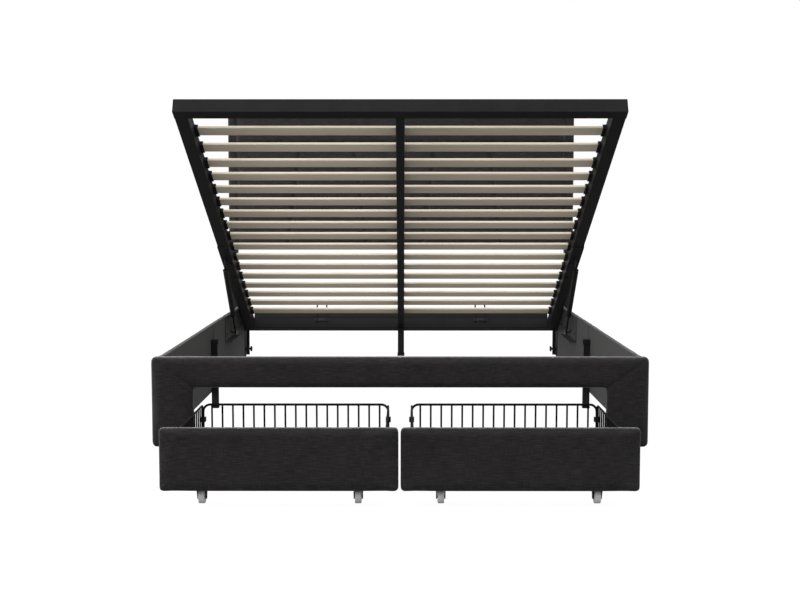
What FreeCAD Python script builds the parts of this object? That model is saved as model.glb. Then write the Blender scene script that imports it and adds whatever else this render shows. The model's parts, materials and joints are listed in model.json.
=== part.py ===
import FreeCAD, Part
import itertools
import math
import os

# Upholstered storage bed, in millimetres. The foot is towards -Y, the head towards +Y and up is +Z.
# It stands as used for storage: the slatted platform is lifted and both wheeled drawers are out.

# Clearances
free_gap = 0.3
pin_gap = 0.05
slat_fit = 0.2
overrun = 5.0

# Lifting platform, a frame of square steel tube that carries the mattress
platform_length = 2030.0
platform_width = 1510.0
tube_height = 50.0
tube_width = 44.0
tube_wall = 2.0
beam_size = 30.0
platform_tilt_deg = 27.05
platform_below_rail_top = 2.0
platform_foot_gap = 4.0
platform_side_gap = 7.0
pivot_from_head = 188.0
pivot_below_top = 10.0

# Slats and their plastic holders
slat_count = 17
slat_width = 50.0
slat_thickness = 11.0
slat_height = 34.0
first_slat = 164.0
front_slat_pitch = 114.7
front_slat_gaps = 2
slat_pitch = 103.05
holder_wall = 3.0
holder_depth = 12.0
holder_back = 3.0
cap_web = 4.0

# Foot panel, an upholstered arch over the drawers
foot_depth = 40.0
foot_bottom = 45.5
opening_width = 1322.0
foot_post_width = 136.0
opening_top = 237.5
foot_padding = 16.0
cover_wrap = 6.0
panel_corner = 14.0
panel_crown = 6.0
panel_end_draw = 8.0
foot_leg_width = 44.0
foot_leg_depth = 26.0
foot_leg_from_end = 55.5

# Side rails, each of two padded boards
rail_thickness = 20.0
rail_padding = 6.0
rail_wrap = 5.0
rail_top = 338.0
rail_bottom = 60.0
rail_end = 2098.0
rail_corner = 6.0
rail_crown = 1.5
rail_end_draw = 2.0
rail_joint_gap = 1.0
joint_plate_length = 60.0
joint_plate_height = 60.0
joint_plate_thickness = 3.0
joint_plate_bottom = 200.0

# Legs and floor glides
mid_leg_size = 26.0
mid_leg_top = 279.0
mid_leg_before_joint = 14.5
mid_leg_flange = 4.0
mid_leg_flange_height = 18.0
glide_height = 8.0
glide_overhang = 1.5
head_leg_width = 34.0
head_leg_from_end = 8.0

# Headboard
headboard_width = 1684.0
headboard_bottom = 596.0
headboard_top = 1280.0
headboard_front = 2086.0
headboard_wrap = 8.0
headboard_corner = 16.0
headboard_crown = 4.0
headboard_end_draw = 10.0
head_leg_depth = 40.0
channel_radius = 5.0
channel_band = 166.0
channel_border = 46.0
channel_top_shares = (-0.578, -0.274, 0.199, 0.506)
channel_bottom_shares = (-0.656, -0.190, 0.119, 0.580)

# Brackets between the rails, the foot panel and the headboard
bracket_thickness = 4.0
head_bracket_bottom = 80.0
head_bracket_top = 300.0
head_bracket_flange = 58.0
head_bracket_reach = 17.0
corner_bracket_leg = 40.0
corner_bracket_bottom = 110.0
corner_bracket_top = 270.0
bolt_radius = 6.0
bolt_head = 3.0
knob_radius = 7.0
knob_length = 12.0

# Lift mechanism
lift_plate = 3.0
lift_base_length = 525.0
lift_base_behind_pivot = 40.0
lift_base_bottom = 222.0
lift_lip_depth = 30.0
lift_lip_length = 300.0
pivot_radius = 5.0
pivot_shoulder = 9.0
strut_base_y = 1600.0
strut_base_z = 245.0
strut_base_stud = 4.0
strut_top_from_pivot = 660.0
strut_top_below_pivot = 60.0
strut_from_rail = 19.0
strut_eye_radius = 11.0
strut_eye_thickness = 8.0
strut_tube_radius = 11.0
strut_rod_radius = 5.0
strut_neck_radius = 4.0
strut_neck = 44.0
strut_tube_clear = 30.0
strut_rod_engaged = 40.0
strut_bore_spare = 15.0
lift_angle_plate = 2.5
lift_angle_front = 780.0
lift_angle_back = 300.0
lift_angle_height = 38.0
cheek_half = 25.0
cheek_below_eye = 14.0

# Head end of the platform: stop strip, wire mattress stops and centre post
stop_strip_height = 27.0
stop_strip_thickness = 3.0
stop_wire_radius = 3.5
stop_width = 53.0
stop_bottom = 30.0
stop_height = 92.0
stop_corner = 9.0
stop_from_centre = 384.0
clamp_width = 66.0
clamp_height = 14.0
centre_post_length = 126.0
post_cap = 6.0
plug_flange = 2.0

# Drawers
drawer_pull = 577.0
drawer_span = 1316.0
drawer_gap = 4.0
drawer_bottom = 41.0
drawer_top = 218.0
drawer_front_depth = 30.0
drawer_padding = 14.0
drawer_corner = 12.0
drawer_crown = 4.0
drawer_end_draw = 7.0
basket_inset = 32.0
basket_back = 552.0
basket_top = 191.0
frame_wire = 3.0
bar_wire = 2.4
basket_corner = 22.0
bar_pitch = 33.2
wire_clear = 0.5
clip_width = 16.0
clip_height = 14.0
clip_from_top = 40.0
strip_width = 26.0
strip_thickness = 3.0
strip_inset = 10.0

# Casters under the drawers
wheel_radius = 19.0
wheel_width = 18.0
axle_radius = 3.0
axle_gap = 0.1
caster_wall = 3.0
caster_side_gap = 1.0
caster_boss = 7.0
caster_top_length = 32.0
caster_from_front = 50.0
caster_from_back = 60.0
caster_from_end = 112.0

# Places worked out from the sizes above
foot_width = opening_width + foot_post_width * 2
half_platform = platform_width / 2
rail_inner = half_platform + platform_side_gap
rail_outer = rail_inner + rail_thickness
platform_foot = foot_depth + platform_foot_gap
platform_head = platform_foot + platform_length
platform_base = rail_top - platform_below_rail_top - tube_height
platform_top = platform_base + tube_height
pivot_y = platform_head - pivot_from_head
pivot_z = platform_top - pivot_below_top
bar_inner = half_platform - tube_width
rail_middle = (foot_depth + rail_end) / 2
head_leg_front = rail_end + bracket_thickness
headboard_back = head_leg_front + head_leg_depth
head_leg_outer = headboard_width / 2 - head_leg_from_end
strut_x = rail_inner - strut_from_rail
centre_y = (headboard_back - drawer_pull) / 2
rad = math.radians(platform_tilt_deg)

X_AXIS = FreeCAD.Vector(1, 0, 0)
Y_AXIS = FreeCAD.Vector(0, 1, 0)
Z_AXIS = FreeCAD.Vector(0, 0, 1)
ORIGIN = FreeCAD.Vector(0, 0, 0)
QUARTER_TURN = 90

nodes = {}


def point(x, y, z):
    return FreeCAD.Vector(x, y, z)


def block(x0, x1, y0, y1, z0, z1):
    return Part.makeBox(x1 - x0, y1 - y0, z1 - z0, point(x0, y0, z0))


def rod(radius, start, end):
    along = end.sub(start)
    return Part.makeCylinder(radius, along.Length, start, along)


def mirrored(shape):
    return shape.mirror(ORIGIN, X_AXIS)


def both_sides(shape):
    return [shape, mirrored(shape)]


def group(solids):
    return Part.makeCompound(solids)


def fused(solids):
    return solids[0].multiFuse(solids[1:]).removeSplitter()


def add(name, *solids):
    nodes[name] = group(list(solids)) if len(solids) > 1 else solids[0]


def lifted(shape):
    """Turns a shape drawn on the closed platform up to its open place."""
    turned = shape.copy()
    turned.rotate(point(0, pivot_y, pivot_z), X_AXIS, -platform_tilt_deg)
    return turned


def pulled(shape):
    """Moves a shape drawn on the closed drawer out to its open place."""
    moved = shape.copy()
    moved.translate(point(0, -drawer_pull, 0))
    return moved


def tube_box(x0, x1, y0, y1, z0, z1, axis):
    """Square tube with open ends along the named axis."""
    wall = [tube_wall] * 3
    wall["XYZ".index(axis)] = -overrun
    outer = block(x0, x1, y0, y1, z0, z1)
    inner = block(x0 + wall[0], x1 - wall[0], y0 + wall[1], y1 - wall[1], z0 + wall[2], z1 - wall[2])
    return outer.cut(inner)


def padded_section(x, z0, z1, front, back, corner, crown):
    """One upright section of a padded panel, whose front is a shallow arc between rounded edges."""
    edge = front + crown
    side = 1 - math.sqrt(0.5)
    bottom_mid = point(x, edge + corner * side, z0 + corner * side)
    top_mid = point(x, edge + corner * side, z1 - corner * side)
    a = point(x, back, z0)
    b = point(x, back, z1)
    c = point(x, edge + corner, z1)
    d = point(x, edge, z1 - corner)
    e = point(x, edge, z0 + corner)
    f = point(x, edge + corner, z0)
    middle = point(x, front, (z0 + z1) / 2)
    edges = [
        Part.LineSegment(a, b),
        Part.LineSegment(b, c),
        Part.Arc(c, top_mid, d),
        Part.Arc(d, middle, e),
        Part.Arc(e, bottom_mid, f),
        Part.LineSegment(f, a),
    ]
    return Part.Wire([edge_curve.toShape() for edge_curve in edges])


def padded_panel(x0, x1, z0, z1, front, back, corner, crown, draw):
    """Padded panel facing -Y, drawn in towards its ends."""
    sections = [
        padded_section(x0, z0 + draw / 2, z1 - draw / 2, front + draw, back, corner, crown),
        padded_section(x0 + corner, z0, z1, front, back, corner, crown),
        padded_section(x1 - corner, z0, z1, front, back, corner, crown),
        padded_section(x1, z0 + draw / 2, z1 - draw / 2, front + draw, back, corner, crown),
    ]
    return Part.makeLoft(sections, True, True)


def prism(corners, y0, y1):
    """Upright prism along Y over corners given as (x, z)."""
    face = Part.Face(Part.makePolygon([point(x, y0, z) for x, z in corners + corners[:1]]))
    return face.extrude(point(0, y1 - y0, 0))


def hex_head(base, direction, radius, height):
    """Hexagonal bolt head or nut standing on a face."""
    corners = []
    side_turn = 2 * math.pi / 6
    for i in range(7):
        corners.append(point(radius * math.cos(i * side_turn), radius * math.sin(i * side_turn), 0))
    solid = Part.Face(Part.makePolygon(corners)).extrude(point(0, 0, height))
    solid.Placement = FreeCAD.Placement(base, FreeCAD.Rotation(Z_AXIS, direction))
    return solid


def wire_path(points, corner):
    """Path through points with each inner corner rounded by one arc."""
    edges = []
    start = points[0]
    for i in range(1, len(points) - 1):
        before = points[i - 1].sub(points[i]).normalize()
        after = points[i + 1].sub(points[i]).normalize()
        enter = points[i].add(FreeCAD.Vector(before).multiply(corner))
        leave = points[i].add(FreeCAD.Vector(after).multiply(corner))
        inward = FreeCAD.Vector(before).add(after).normalize()
        middle = points[i].add(inward.multiply(corner * (math.sqrt(2) - 1)))
        edges.append(Part.LineSegment(start, enter).toShape())
        edges.append(Part.Arc(enter, middle, leave).toShape())
        start = leave
    edges.append(Part.LineSegment(start, points[-1]).toShape())
    return Part.Wire(edges)


def bent_wire(points, radius, corner):
    path = wire_path(points, corner)
    ring = Part.Wire([Part.makeCircle(radius, points[0], points[1].sub(points[0]))])
    return path.makePipeShell([ring], True, False)


def grille(width, height):
    """Welded wire panel in the XZ plane: an arch of thick wire, a foot wire and upright bars."""
    half = width / 2
    arch = bent_wire(
        [point(-half, 0, 0), point(-half, 0, height), point(half, 0, height), point(half, 0, 0)],
        frame_wire,
        basket_corner,
    )
    pieces = [arch, rod(frame_wire, point(-half - frame_wire, 0, 0), point(half + frame_wire, 0, 0))]
    bars = math.floor(width / bar_pitch)
    for i in range(bars):
        x = (i - (bars - 1) / 2) * bar_pitch
        pieces.append(rod(bar_wire, point(x, 0, 0), point(x, 0, height)))
    return fused(pieces)


# Foot panel: three boards under three padded covers that meet in mitres
foot_half = foot_width / 2
opening_half = opening_width / 2
board_front = foot_padding
board_bottom = foot_bottom + cover_wrap
board_lintel = opening_top + cover_wrap
board_inner = opening_half + cover_wrap
board_outer = foot_half - cover_wrap
lintel_board = block(-board_outer, board_outer, board_front, foot_depth, board_lintel, rail_top - cover_wrap)
post_board = block(board_inner, board_outer, board_front, foot_depth, board_bottom, board_lintel)
foot_boards = [lintel_board] + both_sides(post_board)
add("foot_panel_boards", *foot_boards)

mitre_reach_share = 0.2
mitre_x = (foot_half - opening_half) * mitre_reach_share
mitre_z = (rail_top - opening_top) * mitre_reach_share
mitre_in = (opening_half - mitre_x, opening_top - mitre_z)
mitre_out = (foot_half + mitre_x, rail_top + mitre_z)
lintel_pad = padded_panel(
    -foot_half, foot_half, opening_top, rail_top, 0, foot_depth, panel_corner, panel_crown, panel_end_draw
)
post_pad = padded_panel(
    opening_half, foot_half, foot_bottom, rail_top, 0, foot_depth, panel_corner, panel_crown, panel_end_draw
)
lintel_zone = [(-mitre_out[0], mitre_out[1]), mitre_out, mitre_in, (-mitre_in[0], mitre_in[1])]
post_zone = [mitre_in, mitre_out, (mitre_out[0], 0), (mitre_in[0], 0)]
lintel_cover = lintel_pad.common(prism(lintel_zone, -overrun, foot_depth + overrun))
post_cover = post_pad.common(prism(post_zone, -overrun, foot_depth + overrun))
for board in (lintel_board, post_board):
    lintel_cover = lintel_cover.cut(board)
    post_cover = post_cover.cut(board)
lintel_cover = lintel_cover.cut(mirrored(post_board))
add("foot_panel_covers", lintel_cover, *both_sides(post_cover))

foot_leg_x = foot_half - foot_leg_from_end
foot_leg = block(
    foot_leg_x - foot_leg_width / 2,
    foot_leg_x + foot_leg_width / 2,
    foot_depth - foot_leg_depth,
    foot_depth,
    glide_height,
    foot_bottom,
)
add("foot_legs", *both_sides(foot_leg))

# Side rails: boards with a padded cover on the outer side, top, bottom and ends
rail_halves = [
    (foot_depth, rail_middle - rail_joint_gap / 2),
    (rail_middle + rail_joint_gap / 2, rail_end),
]
rail_boards = []
rail_covers = []
for y0, y1 in rail_halves:
    pad = padded_panel(
        y0, y1, rail_bottom, rail_top, -rail_outer, -rail_inner, rail_corner, rail_crown, rail_end_draw
    )
    core = block(
        y0 + rail_wrap,
        y1 - rail_wrap,
        rail_padding - rail_outer,
        -rail_inner,
        rail_bottom + rail_wrap,
        rail_top - rail_wrap,
    )
    cover = pad.cut(core)
    for shape in (core, cover):
        shape.rotate(ORIGIN, Z_AXIS, QUARTER_TURN)
    rail_boards.append(core)
    rail_covers.append(cover)
add("side_rail_boards_right", *rail_boards)
add("side_rail_boards_left", *[mirrored(s) for s in rail_boards])
add("side_rail_covers_right", *rail_covers)
add("side_rail_covers_left", *[mirrored(s) for s in rail_covers])

joint_plate = block(
    rail_inner - joint_plate_thickness,
    rail_inner,
    rail_middle - joint_plate_length / 2,
    rail_middle + joint_plate_length / 2,
    joint_plate_bottom,
    joint_plate_bottom + joint_plate_height,
)
leg_middle = rail_middle - mid_leg_before_joint - joint_plate_length / 2
mid_leg_outer = rail_inner
mid_leg = fused([
    block(
        mid_leg_outer - mid_leg_size,
        mid_leg_outer,
        leg_middle - mid_leg_size / 2,
        leg_middle + mid_leg_size / 2,
        glide_height,
        mid_leg_top,
    ),
    block(
        mid_leg_outer - mid_leg_size - mid_leg_flange,
        mid_leg_outer,
        leg_middle - mid_leg_size / 2 - mid_leg_flange,
        leg_middle + mid_leg_size / 2 + mid_leg_flange,
        mid_leg_top - mid_leg_flange_height,
        mid_leg_top,
    ),
])
add("rail_joint_plates", *both_sides(joint_plate))
add("mid_legs", *both_sides(mid_leg))

# Headboard: a core board between two legs, under one padded cover with sewn channels
headboard_half = headboard_width / 2
head_leg = block(
    head_leg_outer - head_leg_width,
    head_leg_outer,
    head_leg_front,
    headboard_back,
    glide_height,
    headboard_top - headboard_wrap,
)
headboard_core = block(
    head_leg_width - head_leg_outer,
    head_leg_outer - head_leg_width,
    head_leg_front,
    headboard_back,
    headboard_bottom + headboard_wrap,
    headboard_top - headboard_wrap,
)
headboard_pad = padded_panel(
    -headboard_half,
    headboard_half,
    headboard_bottom,
    headboard_top,
    headboard_front,
    headboard_back,
    headboard_corner,
    headboard_crown,
    headboard_end_draw,
)
band_z = headboard_top - channel_band
channel_y = headboard_front + headboard_crown / 2
channel_side = headboard_half - channel_border
channel_lines = [((-headboard_half, band_z), (headboard_half, band_z))]
for side in (-1, 1):
    channel_lines.append(((side * channel_side, headboard_top), (side * channel_side, headboard_bottom)))
for top_share, bottom_share in zip(channel_top_shares, channel_bottom_shares):
    channel_from = (headboard_half * top_share, band_z)
    channel_to = (headboard_half * bottom_share, headboard_bottom)
    channel_lines.append((channel_from, channel_to))
channels = []
for (x0, z0), (x1, z1) in channel_lines:
    channels.append(rod(channel_radius, point(x0, channel_y, z0), point(x1, channel_y, z1)))
headboard_cover = headboard_pad.cut(headboard_core).cut(head_leg).cut(mirrored(head_leg))
headboard_cover = headboard_cover.cut(group(channels))
add("headboard_board", headboard_core)
add("headboard_cover", *headboard_cover.Solids)
add("headboard_legs", *both_sides(head_leg))

# Plastic glides under every leg
glides = []
foot_leg_half = foot_leg_width / 2
mid_leg_half = mid_leg_size / 2
leg_soles = [
    (foot_leg_x - foot_leg_half, foot_leg_x + foot_leg_half, foot_depth - foot_leg_depth, foot_depth),
    (mid_leg_outer - mid_leg_size, mid_leg_outer, leg_middle - mid_leg_half, leg_middle + mid_leg_half),
    (head_leg_outer - head_leg_width, head_leg_outer, head_leg_front, headboard_back),
]
for x0, x1, y0, y1 in leg_soles:
    sole = block(
        x0 - glide_overhang, x1 + glide_overhang, y0, y1, 0, glide_height
    )
    glides.extend(both_sides(sole))
add("floor_glides", *glides)

# Steel brackets at the corners
head_bracket_x0 = min(rail_inner - head_bracket_reach, head_leg_outer - head_leg_width)
head_bracket_x1 = max(rail_inner, head_leg_outer)
head_bracket = fused([
    block(
        head_bracket_x0,
        head_bracket_x1,
        rail_end,
        head_leg_front,
        head_bracket_bottom,
        head_bracket_top,
    ),
    block(
        rail_inner - bracket_thickness,
        rail_inner,
        rail_end - head_bracket_flange,
        rail_end,
        head_bracket_bottom,
        head_bracket_top,
    ),
])
corner_bracket_x0 = min(rail_inner - corner_bracket_leg, foot_half - foot_post_width / 2)
corner_bracket = fused([
    block(
        corner_bracket_x0,
        rail_inner,
        foot_depth,
        foot_depth + bracket_thickness,
        corner_bracket_bottom,
        corner_bracket_top,
    ),
    block(
        rail_inner - bracket_thickness,
        rail_inner,
        foot_depth,
        foot_depth + corner_bracket_leg,
        corner_bracket_bottom,
        corner_bracket_top,
    ),
])
add("headboard_brackets", *both_sides(head_bracket))
add("foot_corner_brackets", *both_sides(corner_bracket))

# Lift mechanism fixed to the rails: a plate with a lip, a welded strut stud and the platform's pivot
lift_base_back = pivot_y + lift_base_behind_pivot
lift_base_front = lift_base_back - lift_base_length
lift_face = rail_inner - lift_plate
stud_end = strut_x - strut_eye_thickness / 2 - free_gap
lift_base = fused([
    block(lift_face, rail_inner, lift_base_front, lift_base_back, lift_base_bottom, rail_top - rail_wrap),
    block(
        rail_inner - lift_lip_depth,
        rail_inner,
        lift_base_front,
        lift_base_front + lift_lip_length,
        lift_base_bottom,
        lift_base_bottom + lift_plate,
    ),
    rod(
        strut_base_stud,
        point(rail_inner, strut_base_y, strut_base_z),
        point(stud_end, strut_base_y, strut_base_z),
    ),
])
add("lift_base_right", lift_base)
add("lift_base_left", mirrored(lift_base))

pin_end = bar_inner + tube_wall + free_gap
shoulder_end = half_platform + free_gap
pivot_pin = fused([
    rod(pivot_radius, point(lift_face, pivot_y, pivot_z), point(pin_end, pivot_y, pivot_z)),
    rod(pivot_shoulder, point(lift_face, pivot_y, pivot_z), point(shoulder_end, pivot_y, pivot_z)),
])
add("lift_pivot_pins", *both_sides(pivot_pin))

# Bolts of the fixed frame
bolts = []
lift_bolt_shares = (0.08, 0.30, 0.62, 0.90)
lift_bolt_z = lift_base_bottom + (platform_base - lift_base_bottom) / 2
for share in lift_bolt_shares:
    base = point(lift_face, lift_base_front + lift_base_length * share, lift_bolt_z)
    bolts.append(hex_head(base, -X_AXIS, bolt_radius, bolt_head))
joint_bolt_shares = (0.22, 0.78)
plate_face = rail_inner - joint_plate_thickness
for along_share, up_share in itertools.product(joint_bolt_shares, repeat=2):
    y = rail_middle + joint_plate_length * (along_share - 0.5)
    base = point(plate_face, y, joint_plate_bottom + joint_plate_height * up_share)
    bolts.append(hex_head(base, -X_AXIS, bolt_radius, bolt_head))
bracket_bolt_shares = (0.15, 0.85)
bracket_face = rail_inner - bracket_thickness
corner_face = foot_depth + bracket_thickness
corner_mid = (corner_bracket_leg + bracket_thickness) / 2
head_mid = rail_end - head_bracket_flange / 2
leg_mid = head_leg_outer - head_leg_width / 2
side_mid = foot_depth + corner_mid
front_mid = rail_inner - corner_mid
for share in bracket_bolt_shares:
    z_corner = corner_bracket_bottom + (corner_bracket_top - corner_bracket_bottom) * share
    z_head = head_bracket_bottom + (head_bracket_top - head_bracket_bottom) * share
    bolts.append(hex_head(point(bracket_face, side_mid, z_corner), -X_AXIS, bolt_radius, bolt_head))
    bolts.append(hex_head(point(front_mid, corner_face, z_corner), Y_AXIS, bolt_radius, bolt_head))
    bolts.append(hex_head(point(leg_mid, rail_end, z_head), -Y_AXIS, bolt_radius, bolt_head))
knob_z = head_bracket_bottom + (head_bracket_top - head_bracket_bottom) * bracket_bolt_shares[0]
knob_end = bracket_face - knob_length
bolts.append(rod(knob_radius, point(bracket_face, head_mid, knob_z), point(knob_end, head_mid, knob_z)))
add("frame_bolts", *bolts, *[mirrored(b) for b in bolts])

# Platform frame, drawn closed and then lifted
side_from = platform_foot + tube_width
side_to = platform_head - tube_width
bush_end = bar_inner + tube_wall
pivot_hole = rod(
    pivot_radius + pin_gap,
    point(half_platform + overrun, pivot_y, pivot_z),
    point(bush_end, pivot_y, pivot_z),
)
pivot_bush = rod(
    pivot_shoulder, point(half_platform - tube_wall, pivot_y, pivot_z), point(bush_end, pivot_y, pivot_z)
)
foot_bar = tube_box(
    -half_platform, half_platform, platform_foot, side_from, platform_base, platform_top, "X"
)
head_bar = tube_box(-half_platform, half_platform, side_to, platform_head, platform_base, platform_top, "X")
side_tube = tube_box(bar_inner, half_platform, side_from, side_to, platform_base, platform_top, "Y")
side_bar = fused([side_tube, pivot_bush]).cut(pivot_hole)
centre_beam = tube_box(
    -beam_size / 2, beam_size / 2, side_from, side_to, platform_base, platform_base + beam_size, "Y"
)
add("platform_foot_bar", lifted(foot_bar))
add("platform_head_bar", lifted(head_bar))
add("platform_side_bar_right", lifted(side_bar))
add("platform_side_bar_left", lifted(mirrored(side_bar)))
add("platform_centre_beam", lifted(centre_beam))

plugs = []
for y0 in (platform_foot, side_to):
    inside = block(
        half_platform - tube_width / 2,
        half_platform,
        y0 + tube_wall,
        y0 + tube_width - tube_wall,
        platform_base + tube_wall,
        platform_top - tube_wall,
    )
    flange = block(
        half_platform, half_platform + plug_flange, y0, y0 + tube_width, platform_base, platform_top
    )
    plugs.extend(both_sides(lifted(fused([inside, flange]))))

# Slats in pairs, with end holders on the side bars and double caps on the centre beam
slat_z = platform_base + slat_height
slat_top = slat_z + slat_thickness
slat_outer = bar_inner - holder_back
slat_inner = cap_web / 2
slats = []
holders = []
caps = []
for i in range(slat_count):
    near = min(i, front_slat_gaps)
    y0 = platform_foot + first_slat + near * front_slat_pitch + (i - near) * slat_pitch
    y1 = y0 + slat_width
    slats.append(block(slat_inner, slat_outer, y0, y1, slat_z, slat_top))
    pocket = block(
        slat_inner - slat_fit,
        slat_outer + slat_fit,
        y0 - slat_fit,
        y1 + slat_fit,
        slat_z - slat_fit,
        slat_top + slat_fit,
    )
    holder = block(
        bar_inner - holder_depth,
        bar_inner,
        y0 - holder_wall,
        y1 + holder_wall,
        slat_z - holder_wall,
        slat_top + holder_wall,
    )
    cap = block(
        -beam_size / 2,
        beam_size / 2,
        y0 - holder_wall,
        y1 + holder_wall,
        platform_base + beam_size,
        slat_top + holder_wall,
    )
    holders.append(holder.cut(pocket))
    caps.append(lifted(cap.cut(pocket).cut(mirrored(pocket))))
add("slats_right", *[lifted(s) for s in slats])
add("slats_left", *[lifted(mirrored(s)) for s in slats])
add("slat_end_holders", *[lifted(h) for h in holders], *[lifted(mirrored(h)) for h in holders])
add("slat_centre_caps", *caps)

# Head end: stop strip, two wire mattress stops under clamps, and the centre post
stop_strip = block(
    -bar_inner,
    bar_inner,
    side_to,
    side_to + stop_strip_thickness,
    platform_top,
    platform_top + stop_strip_height,
)
add("head_stop_strip", lifted(stop_strip))

stop_y = side_to - stop_wire_radius - free_gap
stop_z0 = platform_base + stop_bottom
stop_z1 = stop_z0 + stop_height
stop_half = stop_width / 2 - stop_wire_radius
stops = []
clamps = []
for side in (-1, 1):
    x0 = side * stop_from_centre - stop_half
    x1 = side * stop_from_centre + stop_half
    ends = [
        point(x0, stop_y, stop_z0),
        point(x0, stop_y, stop_z1),
        point(x1, stop_y, stop_z1),
        point(x1, stop_y, stop_z0),
    ]
    stop = bent_wire(ends, stop_wire_radius, stop_corner)
    clamp = block(
        side * stop_from_centre - clamp_width / 2,
        side * stop_from_centre + clamp_width / 2,
        side_to - stop_wire_radius,
        side_to,
        stop_z0 + stop_wire_radius,
        stop_z0 + stop_wire_radius + clamp_height,
    )
    stops.append(lifted(stop))
    clamps.append(lifted(clamp.cut(stop)))
add("mattress_stops", *stops)

post_y = side_to + tube_width / 2
post_end = platform_base - centre_post_length
post_half = beam_size / 2
centre_post = tube_box(
    -post_half, post_half, post_y - post_half, post_y + post_half, post_end, platform_base, "Z"
)
centre_cap = block(
    -beam_size / 2 - plug_flange,
    beam_size / 2 + plug_flange,
    post_y - beam_size / 2 - plug_flange,
    post_y + beam_size / 2 + plug_flange,
    post_end - post_cap,
    post_end,
)
add("centre_post", lifted(centre_post))
add("frame_tube_plugs", *plugs, lifted(centre_cap))

# Lift angle on each side bar, with the cheek that takes the top of the gas strut
angle_front = pivot_y - lift_angle_front
angle_back = pivot_y - lift_angle_back
cheek_y = pivot_y - strut_top_from_pivot
cheek_z = pivot_z - strut_top_below_pivot
cheek_x = strut_x - strut_eye_thickness / 2 - free_gap
lift_angle = fused([
    block(
        half_platform,
        half_platform + lift_angle_plate,
        angle_front,
        angle_back,
        platform_base - lift_angle_plate,
        platform_base + lift_angle_height,
    ),
    block(
        bar_inner,
        half_platform + lift_angle_plate,
        angle_front,
        angle_back,
        platform_base - lift_angle_plate,
        platform_base,
    ),
    block(
        cheek_x - lift_plate,
        cheek_x,
        cheek_y - cheek_half,
        cheek_y + cheek_half,
        cheek_z - cheek_below_eye,
        platform_base,
    ),
])
add("lift_angle_right", lifted(lift_angle))
add("lift_angle_left", lifted(mirrored(lift_angle)))

platform_bolts = []
angle_bolt_shares = (0.06, 0.35, 0.65, 0.94)
angle_bolt_x = bar_inner + (cheek_x - lift_plate - bar_inner) / 2
for share in angle_bolt_shares:
    y = angle_front + (angle_back - angle_front) * share
    base = point(angle_bolt_x, y, platform_base - lift_angle_plate)
    platform_bolts.append(hex_head(base, -Z_AXIS, bolt_radius, bolt_head))
clamp_bolt_z = stop_z0 + stop_wire_radius + clamp_height / 2
clamp_bolt = point(stop_from_centre, side_to - stop_wire_radius, clamp_bolt_z)
platform_bolts.append(hex_head(clamp_bolt, -Y_AXIS, bolt_radius, bolt_head))
right_bolts = [lifted(b) for b in platform_bolts]
clamp_solids = [solid for shape in clamps for solid in shape.Solids]
add("platform_fixings", *right_bolts, *[mirrored(b) for b in right_bolts], *clamp_solids)

# Gas struts between the rail studs and the platform cheeks, drawn at their open length
cos_tilt = math.cos(rad)
sin_tilt = math.sin(rad)
top_y = pivot_y - cos_tilt * strut_top_from_pivot - sin_tilt * strut_top_below_pivot
top_z = pivot_z + sin_tilt * strut_top_from_pivot - cos_tilt * strut_top_below_pivot
open_y = top_y - strut_base_y
open_z = top_z - strut_base_z
open_length = math.hypot(open_y, open_z)
closed_length = math.hypot(cheek_y - strut_base_y, cheek_z - strut_base_z)
stroke = open_length - closed_length
strut_turn_deg = math.degrees(math.atan2(-open_y, open_z))
tube_top = open_length - strut_neck
tube_bottom = open_length - closed_length + strut_tube_clear
rod_end = tube_bottom + strut_rod_engaged
bore_end = rod_end + stroke + strut_bore_spare


def strut_eye(height):
    half = strut_eye_thickness / 2
    return rod(strut_eye_radius, point(-half, 0, height), point(half, 0, height))


def placed_strut(shape):
    shape.rotate(ORIGIN, X_AXIS, strut_turn_deg)
    shape.translate(point(strut_x, strut_base_y, strut_base_z))
    return shape


stud_hole = rod(
    strut_base_stud + pin_gap,
    point(-strut_eye_thickness, 0, 0),
    point(strut_eye_thickness, 0, 0),
)
gas_tube = fused([
    rod(strut_tube_radius, point(0, 0, tube_bottom), point(0, 0, tube_top)),
    rod(strut_neck_radius, point(0, 0, tube_top), point(0, 0, open_length)),
    strut_eye(open_length),
])
gas_bore = rod(strut_rod_radius + free_gap, point(0, 0, tube_bottom - overrun), point(0, 0, bore_end))
gas_tube = placed_strut(gas_tube.cut(gas_bore))
gas_rod = fused([
    strut_eye(0),
    rod(strut_rod_radius, point(0, 0, 0), point(0, 0, rod_end)),
])
gas_rod = placed_strut(gas_rod.cut(stud_hole))
add("gas_strut_tube_right", gas_tube)
add("gas_strut_tube_left", mirrored(gas_tube))
add("gas_strut_rod_right", gas_rod)
add("gas_strut_rod_left", mirrored(gas_rod))

# Drawers, drawn closed and then pulled out
drawer_width = (drawer_span - drawer_gap) / 2
drawer_x = (drawer_span + drawer_gap) / 4
front_x0 = drawer_x - drawer_width / 2
front_x1 = drawer_x + drawer_width / 2
front_pad = padded_panel(
    front_x0,
    front_x1,
    drawer_bottom,
    drawer_top,
    0,
    drawer_front_depth,
    drawer_corner,
    drawer_crown,
    drawer_end_draw,
)
front_board = block(
    front_x0 + cover_wrap,
    front_x1 - cover_wrap,
    drawer_padding,
    drawer_front_depth,
    drawer_bottom + cover_wrap,
    drawer_top - cover_wrap,
)
front_cover = front_pad.cut(front_board)

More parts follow.
